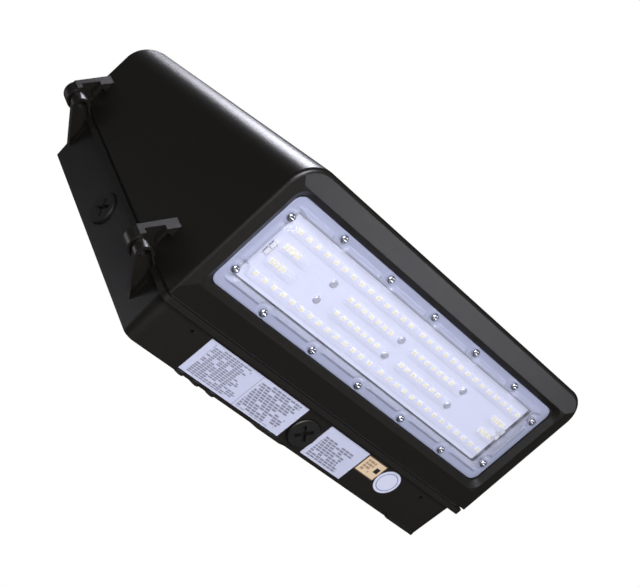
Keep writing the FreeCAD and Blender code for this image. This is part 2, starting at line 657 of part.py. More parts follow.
def inner_profile():
    """Side view of the space inside: a wall thickness in from the outside, and open at the rim."""
    slope = "((door_depth - top_depth) / (housing_height - top_fall))"
    return [
        (f"{RIM} + overshoot", FLOOR),
        (f"{RIM} + overshoot", f"{TOP} - door_wall"),
        (f"{RIM} - top_depth + door_wall", f"{TOP} - top_fall - door_wall"),
        (f"{LIP} + door_wall * slope_stretch + {slope} * ({FLOOR} - {BOTTOM})", FLOOR),
    ]


def screw_places():
    """Centres of the fourteen lens screws in the plane of the lens."""
    places = []
    for step in ("-2", "-1", "0", "1", "2"):
        for row in ("-lens_screw_row", "lens_screw_row"):
            places.append((f"{step} * lens_screw_pitch", f"{LENS_Y} + {row}"))
    for x in ("-lens_screw_end", "lens_screw_end"):
        for row in ("-lens_end_row", "lens_end_row"):
            places.append((x, f"{LENS_Y} + {row}"))
    return places


def board_screw_places():
    return [(f"{step} * board_screw_pitch", f"{LENS_Y} + {row}")
            for step in ("-1", "0", "1") for row in ("-board_screw_row", "board_screw_row")]


def standoff_places():
    return [(x, f"{PLATE_Y} + {y}") for x in ("-standoff_span_x / 2", "standoff_span_x / 2")
            for y in ("-standoff_span_y / 2", "standoff_span_y / 2")]


def lens_rectangle(profile, grow, radius):
    """A rounded rectangle about the middle of the lens, larger than it by a margin."""
    grow = f"({grow})"
    rounded(profile, f"-lens_long / 2 - {grow}", f"lens_long / 2 + {grow}",
            f"{LENS_Y} - lens_short / 2 - {grow}", f"{LENS_Y} + lens_short / 2 + {grow}", radius)


def wedge(name, profile, inset):
    """A wedge with a side profile, its crown, front and brow edges rounded together."""
    block = body(f"{name}_block")
    side = sketch(block, "YZ_Plane")
    polygon(side, profile)
    pad(block, side, f"housing_width - 2 * {inset}", both=True)
    half = size(f"{SIDE} - {inset}")
    brow = size(f"{RIM} - top_depth + {inset}")

    def on_side(middle):
        return abs(abs(middle.x) - half) < 0.01

    picks = {
        "crown_round": lambda m, run: on_side(m) and m.z > 0 and abs(run.y) > abs(run.z),
        "front_round": lambda m, run: on_side(m) and m.y < brow - 1 and abs(run.z) > abs(run.y),
        "brow_round": lambda m, run: abs(m.y - brow) < 1 and abs(run.x) > half,
    }
    rounding = doc.addObject("Part::Fillet", name)
    rounding.Base = block
    rounding.Edges = [(int(edge[4:]), size(f"{radius} - {inset}"), size(f"{radius} - {inset}"))
                      for radius, wanted in picks.items() for edge in edges(block.Shape, wanted)]
    doc.recompute()
    return rounding


def door_outside():
    """The hollow wedge of the housing: an outer wedge less an inner one a wall thickness smaller."""
    shell = doc.addObject("Part::Cut", "door_shell")
    shell.Base = wedge("door_outer", outer_profile(), "0")
    shell.Tool = wedge("door_inner", inner_profile(), "door_wall")
    doc.recompute()
    return shell


def door_inside(owner):
    """The stepped opening for the lens from below, and the well for the board."""
    chamfer = sketch(owner, "XY_Plane", BOTTOM)
    lens_rectangle(chamfer, "recess_rim", "recess_round")
    lean = "-atan((recess_rim - lens_fit) / recess_depth)"
    pocket(owner, chamfer, "recess_depth", back=True, TaperAngle=lean)
    seat = sketch(owner, "XY_Plane", f"{BOTTOM} + recess_depth")
    lens_rectangle(seat, "lens_fit", "lens_round")
    pocket(owner, seat, f"{LEDGE} - {BOTTOM} - recess_depth", back=True)
    well = sketch(owner, "XY_Plane", LEDGE)
    rounded(well, "-board_long / 2 - board_fit", "board_long / 2 + board_fit",
            f"{LENS_Y} - board_short / 2 - board_fit", f"{LENS_Y} + board_short / 2 + board_fit",
            "board_round + board_fit")
    pocket(owner, well, "board_thick", back=True)


def door_details(owner):
    """Bosses, fins and standoffs on the floor, screw holes, wire hole."""
    bosses = sketch(owner, "XY_Plane", FLOOR)
    for x, y in screw_places():
        circle(bosses, x, y, "boss_diameter")
    pad(owner, bosses, "boss_height")
    tapped = sketch(owner, "XY_Plane", LEDGE)
    for x, y in screw_places():
        circle(tapped, x, y, "lens_screw")
    pocket(owner, tapped, "lens_screw_length", back=True)
    for_board = sketch(owner, "XY_Plane", BOARD_SEAT)
    for x, y in board_screw_places():
        circle(for_board, x, y, "board_screw")
    pocket(owner, for_board, "floor_thick - floor_skin", back=True)
    fin = sketch(owner, "XY_Plane", FLOOR)
    front = f"{LENS_Y} - 1.5 * fin_pitch - fin_thick / 2"
    rear = f"{LENS_Y} - 1.5 * fin_pitch + fin_thick / 2"
    polygon(fin, [("-fin_length / 2", front), ("fin_length / 2", front), ("fin_length / 2", rear),
                  ("-fin_length / 2", rear)])
    first = pad(owner, fin, "fin_height")
    pattern = owner.newObject("PartDesign::LinearPattern", "fins")
    pattern.Originals = [first]
    pattern.Direction = (fin, ["V_Axis"])
    pattern.Occurrences = 4
    bind(pattern, Length="3 * fin_pitch")
    owner.Tip = pattern
    posts = sketch(owner, "XY_Plane", FLOOR)
    for x, y in standoff_places():
        circle(posts, x, y, "standoff_diameter")
    pad(owner, posts, "standoff")
    threads = sketch(owner, "XY_Plane", PLATE)
    for x, y in standoff_places():
        circle(threads, x, y, "driver_screw")
    pocket(owner, threads, "driver_screw_length")
    wire = sketch(owner, "XY_Plane", FLOOR)
    circle(wire, "board_long / 2 - wire_hole_from_end", LENS_Y, "wire_hole")
    pocket(owner, wire, "floor_thick + overshoot")


def arm_plan():
    """Plan of a hinge arm, from the end face of the housing to the pin."""
    return [
        (f"-{SIDE} + arm_lap", f"{HINGE_Y} - arm_seam_gap"),
        (f"-{SIDE} + arm_lap", f"{HINGE_Y} - arm_reach"),
        (f"-{SIDE}", f"{HINGE_Y} - arm_reach"),
        (f"{HINGE_X} - arm_toe", f"{HINGE_Y} - arm_corner"),
        (f"{HINGE_X} - arm_toe", f"{HINGE_Y} + arm_heel"),
        (f"{HINGE_X} + arm_heel", f"{HINGE_Y} + arm_heel"),
        (f"{HINGE_X} + arm_heel + arm_heel_step", f"{HINGE_Y} - arm_seam_gap"),
    ]


def knuckle_window():
    """Plan of the part of the knuckle's skirt that is open toward the post."""
    far = "(knuckle_round + overshoot)"
    return [
        (f"{HINGE_X} - window_side", f"{HINGE_Y} - window_front"),
        (f"{HINGE_X} - window_side", f"{HINGE_Y} - {far}"),
        (f"-{SIDE} - window_gap", f"{HINGE_Y} - {far}"),
        (f"-{SIDE} - window_gap", f"{HINGE_Y} + {far}"),
        (HINGE_X, f"{HINGE_Y} + {far}"),
        (HINGE_X, f"{HINGE_Y} - window_front"),
    ]


def arm_leg():
    """Plan of the rib under the arm's slanted front, beside the end face."""
    knuckle = f"{HINGE_Y} - knuckle_round - overshoot"
    return [
        (f"-{SIDE} + arm_lap", f"{HINGE_Y} - arm_reach"),
        (f"-{SIDE}", f"{HINGE_Y} - arm_reach"),
        (f"-{SIDE} - leg_out", f"{HINGE_Y} - arm_reach + leg_slant"),
        (f"-{SIDE} - leg_out", knuckle),
        (f"-{SIDE} - leg_out + leg_thick", knuckle),
        (f"-{SIDE} - leg_out + leg_thick", f"{HINGE_Y} - arm_reach + leg_root"),
        (f"-{SIDE} + arm_lap", f"{HINGE_Y} - arm_reach + leg_root"),
    ]


def arm_toe():
    """Plan of the short rib at the arm's outer corner."""
    out = f"{HINGE_X} - arm_toe"
    return [
        (out, f"{HINGE_Y} - toe_rear"),
        (out, f"{HINGE_Y} - arm_corner"),
        (f"{out} + toe_long", f"{HINGE_Y} - arm_corner - toe_slant"),
        (f"{out} + toe_long", f"{HINGE_Y} - arm_corner - toe_slant + toe_thick"),
        (f"{out} + toe_thick", f"{HINGE_Y} - toe_rear"),
    ]


def hinge_arm(owner, arm_top):
    """An arm of the door: a plate from the end face to the pin, with a skirt round its outer side."""
    for outline in ("plate", "knuckle"):
        profile = sketch(owner, "XY_Plane", arm_top)
        if outline == "plate":
            polygon(profile, arm_plan())
        else:
            circle(profile, HINGE_X, HINGE_Y, "2 * knuckle_round")
        pad(owner, profile, "arm_thick", back=True)
    skirt = sketch(owner, "XY_Plane", f"{arm_top} - arm_thick")
    circle(skirt, HINGE_X, HINGE_Y, "2 * knuckle_round")
    circle(skirt, HINGE_X, HINGE_Y, "2 * (knuckle_round - skirt_wall)")
    pad(owner, skirt, "arm_skirt - arm_thick", back=True)
    window = sketch(owner, "XY_Plane", f"{arm_top} - arm_skirt")
    polygon(window, knuckle_window())
    pocket(owner, window, "arm_skirt - arm_thick", back=True)
    for outline in (arm_leg(), arm_toe()):
        rib = sketch(owner, "XY_Plane", f"{arm_top} - arm_thick")
        polygon(rib, outline)
        pad(owner, rib, "arm_skirt - arm_thick", back=True)
    bore = sketch(owner, "XY_Plane", arm_top)
    circle(bore, HINGE_X, HINGE_Y, "pin_diameter + 2 * turn_fit")
    pocket(owner, bore, "arm_thick + overshoot")


def door_screw_lug(owner, z):
    """A lug on the right of the rim with a plain hole for a captive screw."""
    profile = sketch(owner, "XZ_Plane", "box_depth + seam_gap")
    rounded(profile, f"{SIDE} - screw_lug_lap", f"{SIDE} + screw_lug_reach", f"{z} - screw_lug_height / 2",
            f"{z} + screw_lug_height / 2", "screw_lug_round")
    pad(owner, profile, "screw_lug_thick")
    hole = sketch(owner, "XZ_Plane", "box_depth + seam_gap + screw_lug_thick")
    circle(hole, LUG_SCREW_X, z, "door_screw + 2 * screw_fit")
    pocket(owner, hole, "screw_lug_thick + overshoot")


def door_housing():
    owner = body("door_housing_body")
    owner.BaseFeature = door_outside()
    doc.recompute()
    low = size(BOTTOM)
    round_edges(owner, "frame_round", lambda m, run: abs(m.z - low) < 0.01 and m.y < size(RIM) - 1)
    door_inside(owner)
    door_details(owner)
    for arm_top in (f"{BOTTOM} + lower_arm_top", f"{BOTTOM} + lower_arm_top + hinge_spacing"):
        hinge_arm(owner, arm_top)
    for z in ("-screw_lug_span / 2", "screw_lug_span / 2"):
        door_screw_lug(owner, z)
    return node(owner, "door_housing")


def lens():
    """The clear cover: a flat rim under the screws and a raised, scalloped middle with four ridges."""
    owner = body("lens_body")
    plate = sketch(owner, "XY_Plane", LENS_FACE)
    lens_rectangle(plate, "0", "lens_round - lens_fit")
    pad(owner, plate, "lens_thick")
    crown = sketch(owner, "XY_Plane", LENS_FACE)
    lens_rectangle(crown, "-lens_crown_margin", "lens_crown_round")
    pad(owner, crown, "lens_crown", back=True)
    scallops = sketch(owner, "XY_Plane", f"{LENS_FACE} - lens_crown")
    for x, y in screw_places():
        circle(scallops, x, y, "lens_scallop")
    pocket(owner, scallops, "lens_crown", back=True)
    holes = sketch(owner, "XY_Plane", f"{LENS_FACE} - lens_crown")
    for x, y in screw_places():
        circle(holes, x, y, "lens_screw + screw_clearance")
    pocket(owner, holes, "lens_crown + lens_thick + overshoot", back=True)
    ridges = sketch(owner, "XY_Plane", f"{LENS_FACE} - lens_crown")
    for row in ("-1.5", "-0.5", "0.5", "1.5"):
        y = f"{LENS_Y} + {row} * row_pitch"
        rounded(ridges, "-lens_ridge_long / 2", "lens_ridge_long / 2", f"{y} - lens_ridge / 2",
                f"{y} + lens_ridge / 2", "lens_ridge / 2 - screw_fit")
    pad(owner, ridges, "lens_ridge_height", back=True)
    return node(owner, "lens")


def lens_gasket():
    owner = body("lens_gasket_body")
    ring = sketch(owner, "XY_Plane", LENS_BACK)
    lens_rectangle(ring, "-lens_gasket_fit", "lens_round - lens_fit")
    lens_rectangle(ring, "-lens_gasket_fit - lens_gasket_width", "lens_gasket_round")
    pad(owner, ring, "lens_gasket")
    holes = sketch(owner, "XY_Plane", LENS_BACK)
    for x, y in screw_places():
        circle(holes, x, y, "lens_screw + screw_clearance")
    pocket(owner, holes, "lens_gasket + overshoot", back=True)
    return node(owner, "lens_gasket")


def lens_screws():
    down = FreeCAD.Rotation(V(1, 0, 0), 180)
    screw = pan_screw("lens_screw", "lens_screw_length")
    return group("lens_screws", [placed(screw, x, y, LENS_FACE, down) for x, y in screw_places()])


def led_board():
    owner = body("led_board_body")
    plate = sketch(owner, "XY_Plane", LEDGE)
    rounded(plate, "-board_long / 2", "board_long / 2", f"{LENS_Y} - board_short / 2",
            f"{LENS_Y} + board_short / 2", "board_round")
    pad(owner, plate, "board_thick")
    holes = sketch(owner, "XY_Plane", LEDGE)
    for x, y in board_screw_places():
        circle(holes, x, y, "board_screw + screw_clearance")
    pocket(owner, holes, "board_thick + overshoot", back=True)
    return node(owner, "led_board")


def led_run(middle, pitch, count):
    """X places of a run of LEDs about a middle, as formulas."""
    return [f"{middle} + {step - (count - 1) / 2} * {pitch}" for step in range(count)]


def led_places():
    """The outer rows have two long runs; each inner row has two runs of seven and a short run at each end."""
    outer = [x for side in ("-1", "1") for x in
             led_run(f"led_shift + {side} * (long_run_gap / 2 + 6.5 * long_run_pitch)", "long_run_pitch", 14)]
    inner = [x for side in ("-1", "1") for x in
             led_run(f"led_shift + {side} * mid_run_middle", "mid_run_pitch", 7)
             + led_run(f"led_shift + {side} * end_run_middle", "end_run_pitch", 4)]
    rows = {"-1.5": outer, "-0.5": inner, "0.5": inner, "1.5": outer}
    return [(x, f"{LENS_Y} + {row} * row_pitch") for row, places in rows.items() for x in places]


def leds():
    long, wide, high = size("led_long"), size("led_wide"), size("led_high")
    chip = Part.makeBox(long, wide, high, V(-long / 2, -wide / 2, -high))
    return group("leds", [placed(chip, x, y, LEDGE) for x, y in led_places()])


def board_screws():
    down = FreeCAD.Rotation(V(1, 0, 0), 180)
    screw = pan_screw("board_screw", "board_screw_length", cross=False)
    return group("board_screws", [placed(screw, x, y, LEDGE, down) for x, y in board_screw_places()])


def driver_plate():
    """The sheet plate on the standoffs that carries the driver and the surge protector."""
    owner = body("driver_plate_body")
    plate = sketch(owner, "XY_Plane", PLATE)
    rounded(plate, "-plate_long / 2", "plate_long / 2", f"{PLATE_Y} - standoff_span_y / 2 - plate_margin",
            f"{PLATE_Y} + standoff_span_y / 2 + plate_margin", "plate_round")
    pad(owner, plate, "plate_thick")
    holes = sketch(owner, "XY_Plane", f"{PLATE} + plate_thick")
    for x, y in standoff_places():
        circle(holes, x, y, "driver_screw + screw_clearance")
    pocket(owner, holes, "plate_thick + overshoot")
    return node(owner, "driver_plate")


def driver():
    owner = body("driver_body")
    case = sketch(owner, "XY_Plane", f"{PLATE} + plate_thick")
    rounded(case, "-driver_from", "-driver_from + driver_long", f"{PLATE_Y} - driver_wide / 2",
            f"{PLATE_Y} + driver_wide / 2", "driver_round")
    pad(owner, case, "driver_high")
    top = size(f"{PLATE} + plate_thick + driver_high")
    round_edges(owner, "driver_round", lambda m, run: abs(m.z - top) < 0.01)
    return node(owner, "driver")


def surge_protector():
    owner = body("surge_protector_body")
    case = sketch(owner, "XY_Plane", f"{PLATE} + plate_thick")
    rounded(case, "surge_from", "surge_from + surge_long", f"{PLATE_Y} - surge_wide / 2",
            f"{PLATE_Y} + surge_wide / 2", "surge_round")
    pad(owner, case, "surge_high")
    return node(owner, "surge_protector")


def driver_screws():
    screw = pan_screw("driver_screw", "driver_screw_length")
    seat = f"{PLATE} + plate_thick"
    return group("driver_screws", [placed(screw, x, y, seat) for x, y in standoff_places()])


def door_screw(name, z):
    """A captive screw, drawn backed out: its tip stops at the rim and its head stands off the lug."""
    neck_end = "screw_lug_thick + door_screw_travel"
    face = f"{neck_end} + door_screw_head_height"
    owner = turned(name + "_body", [
        ("door_screw / 2 - door_screw_point", "0"),
        ("door_screw / 2", "door_screw_point"),
        ("door_screw / 2", "door_screw_tip"),
        ("door_screw_neck / 2", "door_screw_tip"),
        ("door_screw_neck / 2", neck_end),
        ("door_screw_head / 2", neck_end),
        ("door_screw_head / 2", f"{face} - door_screw_chamfer"),
        ("door_screw_head / 2 - door_screw_chamfer", face),
    ])
    slot = sketch(owner, "XY_Plane", face)
    end = "(door_screw_head / 2 + overshoot)"
    side = "door_screw_slot / 2"
    polygon(slot, [(f"-{end}", f"-{side}"), (end, f"-{side}"), (end, side), (f"-{end}", side)])
    pocket(owner, slot, "door_screw_slot_depth")
    owner.Placement = FreeCAD.Placement(V(0, 0, 0), FreeCAD.Rotation(V(1, 0, 0), 90))
    owner.setExpression("Placement.Base.x", linked(LUG_SCREW_X))
    owner.setExpression("Placement.Base.y", linked(RIM))
    owner.setExpression("Placement.Base.z", linked(z))
    return node(owner, name)


def build():
    back_box()
    hinge_pin("hinge_pin_lower", f"{BOTTOM} + lower_arm_top")
    hinge_pin("hinge_pin_upper", f"{BOTTOM} + lower_arm_top + hinge_spacing")
    door_gasket()
    plugs()
    wire_grommet()
    wiring()
    labels()
    door_housing()
    lens()
    lens_gasket()
    lens_screws()
    led_board()
    leds()
    board_screws()
    driver_plate()
    driver()
    surge_protector()
    driver_screws()
    door_screw("door_screw_lower", "-screw_lug_span / 2")
    door_screw("door_screw_upper", "screw_lug_span / 2")


def check():
    """Stop before anything is written if a feature failed or a piece is not sound."""
    doc.recompute()
    failed = [o.Name for o in doc.Objects if "Invalid" in o.State or "Error" in o.State]
    unsound = [o.Label for o in NODES if o.Shape.isNull() or not o.Shape.isValid()]
    if failed or unsound:
        raise RuntimeError(f"failed features {failed}, unsound pieces {unsound}")


def write():
    os.makedirs("parts", exist_ok=True)
    for piece in NODES:
        piece.Shape.exportStep(f"parts/{piece.Label}.step")
        box = piece.Shape.BoundBox
        print(f"{piece.Label}: {len(piece.Shape.Solids)} solids, {piece.Shape.Volume:.0f} mm3, "
              f"{box.XLength:.1f} x {box.YLength:.1f} x {box.ZLength:.1f}")


build()
check()
write()
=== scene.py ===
"""Looks for the full-cutoff LED wall pack: paint, lens, LED board, stickers, screws and studio."""

from math import pi

import bpy
from mathutils import Matrix, Vector

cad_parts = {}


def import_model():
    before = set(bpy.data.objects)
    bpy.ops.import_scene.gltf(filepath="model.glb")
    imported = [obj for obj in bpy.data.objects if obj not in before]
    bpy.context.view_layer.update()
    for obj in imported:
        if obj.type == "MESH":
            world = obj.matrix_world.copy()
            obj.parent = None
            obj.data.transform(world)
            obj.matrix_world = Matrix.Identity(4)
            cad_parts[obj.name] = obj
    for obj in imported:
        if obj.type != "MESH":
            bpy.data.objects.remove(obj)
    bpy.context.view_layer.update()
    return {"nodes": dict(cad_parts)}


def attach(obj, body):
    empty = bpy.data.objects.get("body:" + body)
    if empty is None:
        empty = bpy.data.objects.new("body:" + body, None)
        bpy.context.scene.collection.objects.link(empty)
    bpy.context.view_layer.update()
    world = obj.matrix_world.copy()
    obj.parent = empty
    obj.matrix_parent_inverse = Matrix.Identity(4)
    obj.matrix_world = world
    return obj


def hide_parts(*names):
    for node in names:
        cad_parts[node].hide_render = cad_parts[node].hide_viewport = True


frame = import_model()

MM = 0.001

# Places and sizes of the lens, the frame round it and the LED board, in millimetres, as in the
# solids. Distances along the lens are measured from its middle.
LENS_MIDDLE_Y = -94.2
LENS_FACE = -114.6
LENS_LONG = 275.0
LENS_SHORT = 72.6
LENS_THICK = 2.5
LENS_CORNER = 6.5
FRAME_LONG = 285.0
FRAME_SHORT = 82.6
FRAME_FACE = -118.3
BOARD_FACE = -110.6
ROW_PITCH = 11.8

# The fourteen lens screws: five along each long side, so two each way from its middle one, and
# two near each end.
SCREW_PITCH = 46.6
SCREW_ROW = 32.2
SCREWS_ASIDE = 2.0
END_SCREW_X = 130.4
END_SCREW_Y = 21.8

# Runs of LEDs on the board, the same on both sides of a middle that is shifted a little. A run's
# distance is from that middle to its own, and a long run starts 6.3 mm from it.
LED_SHIFT = 2.9
LONG_COUNT = 14
LONG_PITCH = 8.6
LONG_RUN = LONG_PITCH * 6.5 + 6.3
MID_COUNT = 7
MID_PITCH = 6.9
MID_RUN = 33.8
END_COUNT = 4
END_PITCH = 3.5
END_RUN = 111.2

# ------------------------------------------------------------------ node maths

class Wire:
    """A node's output that maths can be written with; the other side may be a plain number."""

    def __init__(self, tree, value):
        self.tree = tree
        self.value = value

    def maths(self, operation, *values):
        node = self.tree.nodes.new("ShaderNodeMath")
        node.operation = operation
        for socket, value in zip(node.inputs, values):
            feed(self.tree, socket, value)
        return Wire(self.tree, node.outputs[0])

    def __add__(self, value):
        return self.maths("ADD", self, value)

    def __radd__(self, value):
        return self.maths("ADD", value, self)

    def __sub__(self, value):
        return self.maths("SUBTRACT", self, value)

    def __rsub__(self, value):
        return self.maths("SUBTRACT", value, self)

    def __mul__(self, value):
        return self.maths("MULTIPLY", self, value)

    def __rmul__(self, value):
        return self.maths("MULTIPLY", value, self)

    def __truediv__(self, value):
        return self.maths("DIVIDE", self, value)

    def __lt__(self, value):
        return self.maths("LESS_THAN", self, value)

    def __gt__(self, value):
        return self.maths("GREATER_THAN", self, value)

    def abs(self):
        return self.maths("ABSOLUTE", self)

    def sign(self):
        return self.maths("SIGN", self)

    def floor(self):
        return self.maths("FLOOR", self)

    def round(self):
        return self.maths("ROUND", self)

    def root(self):
        return self.maths("SQRT", self)

    def least(self, value):
        return self.maths("MINIMUM", self, value)

    def most(self, value):
        return self.maths("MAXIMUM", self, value)

    def between(self, low, high):
        """1 where the value lies between two numbers."""
        return (self > low) * (self < high)

    def ease(self, start, end):
        """A smooth step from 0 at start to 1 at end."""
        t = ((self - start) / (end - start)).most(0.0).least(1.0)
        return t * t * (3.0 - 2.0 * t)


def reach(a, b):
    """The length of a pair of wires."""
    return (a * a + b * b).root()


def feed(tree, socket, value):
    """Link a socket to another, or set its plain value."""
    value = value.value if isinstance(value, Wire) else value
    if isinstance(value, bpy.types.NodeSocket):
        tree.links.new(value, socket)
    elif isinstance(value, (tuple, list)) and len(value) == 3 and socket.type == "RGBA":
        socket.default_value = (*value, 1.0)
    else:
        socket.default_value = value


def add_node(tree, kind, settings, sockets):
    """Any node: its settings first, then its sockets by name or number."""
    made = tree.nodes.new(kind)
    for name, value in settings.items():
        setattr(made, name, value)
    for name, value in sockets.items():
        feed(tree, made.inputs[name], value)
    return made


class Nodes:
    """A node tree under construction, in self.tree."""

    def node(self, kind, settings, sockets, out=0):
        """Any node, and one of its outputs as a wire."""
        made = add_node(self.tree, kind, settings, sockets)
        return Wire(self.tree, made.outputs[out])

    def in_millimetres(self, place):
        """A place in metres as three wires in millimetres."""
        split = add_node(self.tree, "ShaderNodeSeparateXYZ", {}, {0: place})
        return [Wire(self.tree, socket) * 1000.0 for socket in split.outputs]


# ------------------------------------------------------------------ finishes

# How far the frame round the lens falls away, in millimetres for each millimetre outward.
FRAME_FALL = 0.22

# The powder coat: where the noise counts as a speck of dust, how much of a speck shows and its
# colour, and the height of the orange peel in metres.
DUST_SPECKS = (0.76, 0.82)
DUST_SHARE = 0.25
DUST_GREY = (0.10, 0.10, 0.10)
PEEL_HEIGHT = 0.00004

# Rows of plain grey dashes on the stickers: the inked part of a row's pitch and of a dash's
# length, the share of dashes left out, and the shift in millimetres from one row to the next.
INKED_ROW = (0.12, 0.82)
INKED_DASH = 0.86
DASHES_LEFT_OUT = 0.16
ROW_STAGGER = 3.7

# The ink: its speckle's size in millimetres and depth, and how much of the paper it covers. The
# seed keeps the rows' ends apart from the other random draws.
SPECKLE_LONG = 0.42
SPECKLE_HIGH = 0.3
SPECKLE_DEPTH = 0.35
INK_COVER = 0.9
ROW_END_SEED = 3.0


class Finish(Nodes):
    """A procedural material under construction."""

    def __init__(self, name):
        self.material = bpy.data.materials.new(name)
        self.material.use_nodes = True
        self.tree = self.material.node_tree
        self.tree.nodes.clear()
        self.shader = self.tree.nodes.new("ShaderNodeBsdfPrincipled")
        output = self.tree.nodes.new("ShaderNodeOutputMaterial")
        self.tree.links.new(self.shader.outputs[0], output.inputs[0])
        self.place = self.node("ShaderNodeTexCoord", {}, {}, "Object")

    def axes(self):
        """The object-space place in millimetres, as three wires."""
        return self.in_millimetres(self.place)

    def noise(self, scale, detail=3.0):
        """Soft noise, with its scale in waves per metre."""
        sockets = {"Vector": self.place, "Scale": scale, "Detail": detail}
        return self.node("ShaderNodeTexNoise", {}, sockets)

    def chance(self, a, b):
        """A random number from 0 to 1 for each pair of whole numbers."""
        pair = self.node("ShaderNodeCombineXYZ", {}, {0: a, 1: b})
        return self.node("ShaderNodeTexWhiteNoise", {"noise_dimensions": "2D"}, {"Vector": pair})

    def blend(self, amount, low, high):
        """A mix of two colours."""
        sockets = {"Factor": amount, 6: low, 7: high}
        return self.node("ShaderNodeMix", {"data_type": "RGBA"}, sockets, 2)

    def bump(self, height, strength, distance):
        sockets = {"Height": height, "Strength": strength, "Distance": distance}
        return self.node("ShaderNodeBump", {}, sockets)

    def set(self, **sockets):
        """Feed the shader's sockets, with _ for a space in their names."""
        for name, value in sockets.items():
            feed(self.tree, self.shader.inputs[name.replace("_", " ")], value)
        return self.material


def shades(colour, spread):
    """A darker and a lighter shade of a colour."""
    return [tuple(c * (1 - spread) for c in colour), tuple(c * (1 + spread) for c in colour)]


def uneven(roughness, grain):
    """A roughness that wanders a little either way with the grain."""
    return roughness - 0.05 + 0.1 * grain


def frame_roll(finish):
    """Height of the frame round the lens, in millimetres: its sides fall away a little outward."""
    x, y, z = finish.axes()
    side = x.abs() - FRAME_LONG / 2
    end = (y - LENS_MIDDLE_Y).abs() - FRAME_SHORT / 2
    out = side.most(end).most(0.0)
    return out * FRAME_FALL * (z < FRAME_FACE) * -1.0


def powder_coat(name, colour, roughness, rolled=False):
    """Satin powder coat: fine orange peel under a slight cloudiness, a few specks of dust."""
    finish = Finish(name)
    grain = finish.noise(420.0)
    peel = finish.noise(1500.0, 2.0)
    dust = finish.noise(2600.0, 1.0).ease(*DUST_SPECKS)
    shade = finish.blend(finish.noise(14.0, 4.0), *shades(colour, 0.14))
    shade = finish.blend(dust * DUST_SHARE, shade, DUST_GREY)
    height = (peel + grain * 0.6) * PEEL_HEIGHT
    if rolled:
        height = height + frame_roll(finish) * MM
    return finish.set(Base_Color=shade, Roughness=uneven(roughness, grain),
                      Specular_IOR_Level=0.5, Normal=finish.bump(height, 1.0, 1.0))


def moulded(name, colour, roughness):
    """Moulded plastic or rubber: a fine matt grain."""
    finish = Finish(name)
    grain = finish.noise(900.0)
    return finish.set(Base_Color=finish.blend(finish.noise(30.0), *shades(colour, 0.1)),
                      Roughness=uneven(roughness, grain),
                      Normal=finish.bump(grain, 0.12, 0.0003))


def bright_metal(name, colour, roughness, streak=(40.0, 40.0, 900.0)):
    """Plated or drawn metal: fine streaks, worn a little duller in patches."""
    finish = Finish(name)
    stretched = finish.node("ShaderNodeMapping", {}, {"Vector": finish.place, "Scale": streak})
    sockets = {"Vector": stretched, "Scale": 2.0, "Detail": 4.0}
    lines = finish.node("ShaderNodeTexNoise", {}, sockets)
    wear = finish.noise(90.0)
    return finish.set(Base_Color=finish.blend(wear, *shades(colour, 0.12)), Metallic=1.0,
                      Roughness=roughness - 0.08 + 0.1 * lines + 0.08 * wear,
                      Normal=finish.bump(lines, 0.08, 0.0002))


def dash_rows(finish, left, right, low, high, pitch, dash, ragged):
    """A mask of rows of grey dashes, with some left out and the rows' ends uneven."""
    x, y, _ = finish.axes()
    place = (y - low) / pitch
    row = place.floor()
    stripe = (place - row).between(*INKED_ROW)
    along = (x + row * ROW_STAGGER) / dash
    cell = along.floor()
    dashes = (finish.chance(cell, row) > DASHES_LEFT_OUT) * (along - cell < INKED_DASH)
    end = right - finish.chance(row, ROW_END_SEED) * ragged
    speckle = finish.chance((x / SPECKLE_LONG).floor(), (y / SPECKLE_HIGH).floor())
    grain = speckle * SPECKLE_DEPTH + (1.0 - SPECKLE_DEPTH)
    return stripe * dashes * grain * (x > left) * (x < end) * y.between(low, high)


def paper(name, ground, ink, columns, extra=None):
    """A sticker: matt paper or foil with columns of dashes; extra adds plain marks."""
    finish = Finish(name)
    inked = None
    for column in columns:
        rows = dash_rows(finish, **column)
        inked = rows if inked is None else inked.most(rows)
    shade = finish.blend(finish.noise(120.0), *shades(ground, 0.03))
    if inked is not None:
        shade = finish.blend(inked * INK_COVER, shade, ink)
    if extra:
        shade = extra(finish, shade)
    return finish.set(Base_Color=shade, Roughness=0.38 + 0.08 * finish.noise(300.0),
                      Normal=finish.bump(finish.noise(500.0), 0.05, 0.0002))


def apply(material, *names):
    """Give CAD nodes a finish."""
    for name in names:
        mesh = frame["nodes"][name].data
        mesh.materials.clear()
        mesh.materials.append(material)


# ------------------------------------------------------------------ pieces made by a rule

# The clear cover, in millimetres: its grid of points, the flat rim, the corners of the raised
# middle, where the collars round the screws start and end, and where the tubes run out, the
# outer ones from the middle of the lens and the short ones from their own middles.
COVER_GRID = (231, 147)
RIM = 5.2
MIDDLE_CORNER = 4.0
COLLAR_INNER_FLANK = (3.0, 3.5)
COLLAR_OUTER_FLANK = (4.1, 4.7)
LONG_TUBE_END = (124.5, 126.0)
MID_TUBE_END = (27.5, 29.0)
END_TUBE_END = (11.5, 13.0)

# Rows of LEDs, in row pitches from the middle line of the board.
OUTER_ROW = 1.5
INNER_ROW = 0.5

# Feet of an LED package, in millimetres: what they add to its length and take off its width.
FOOT_REACH = 0.4
FOOT_INSET = 0.6
FOOT_HIGH = 0.12

# Wire connectors, in millimetres: their distance from the middle of the lens, the distance
# between the two of a pair, a mouth's length and width, how far its middle is from the end of
# the connector, and a release tab's length, width and height. A mouth is a near-black block of
# painted shade where the wire hole is. The two wires of a connector enter this share of its
# width off its middle.
CONNECTOR_X = 121.8
CONNECTOR_PITCH = 4.8
MOUTH = (0.9, 1.5)
MOUTH_SETBACK = 0.40
TAB = (1.2, 0.8, 0.2)
ENTRY_OFF_MIDDLE = 0.23


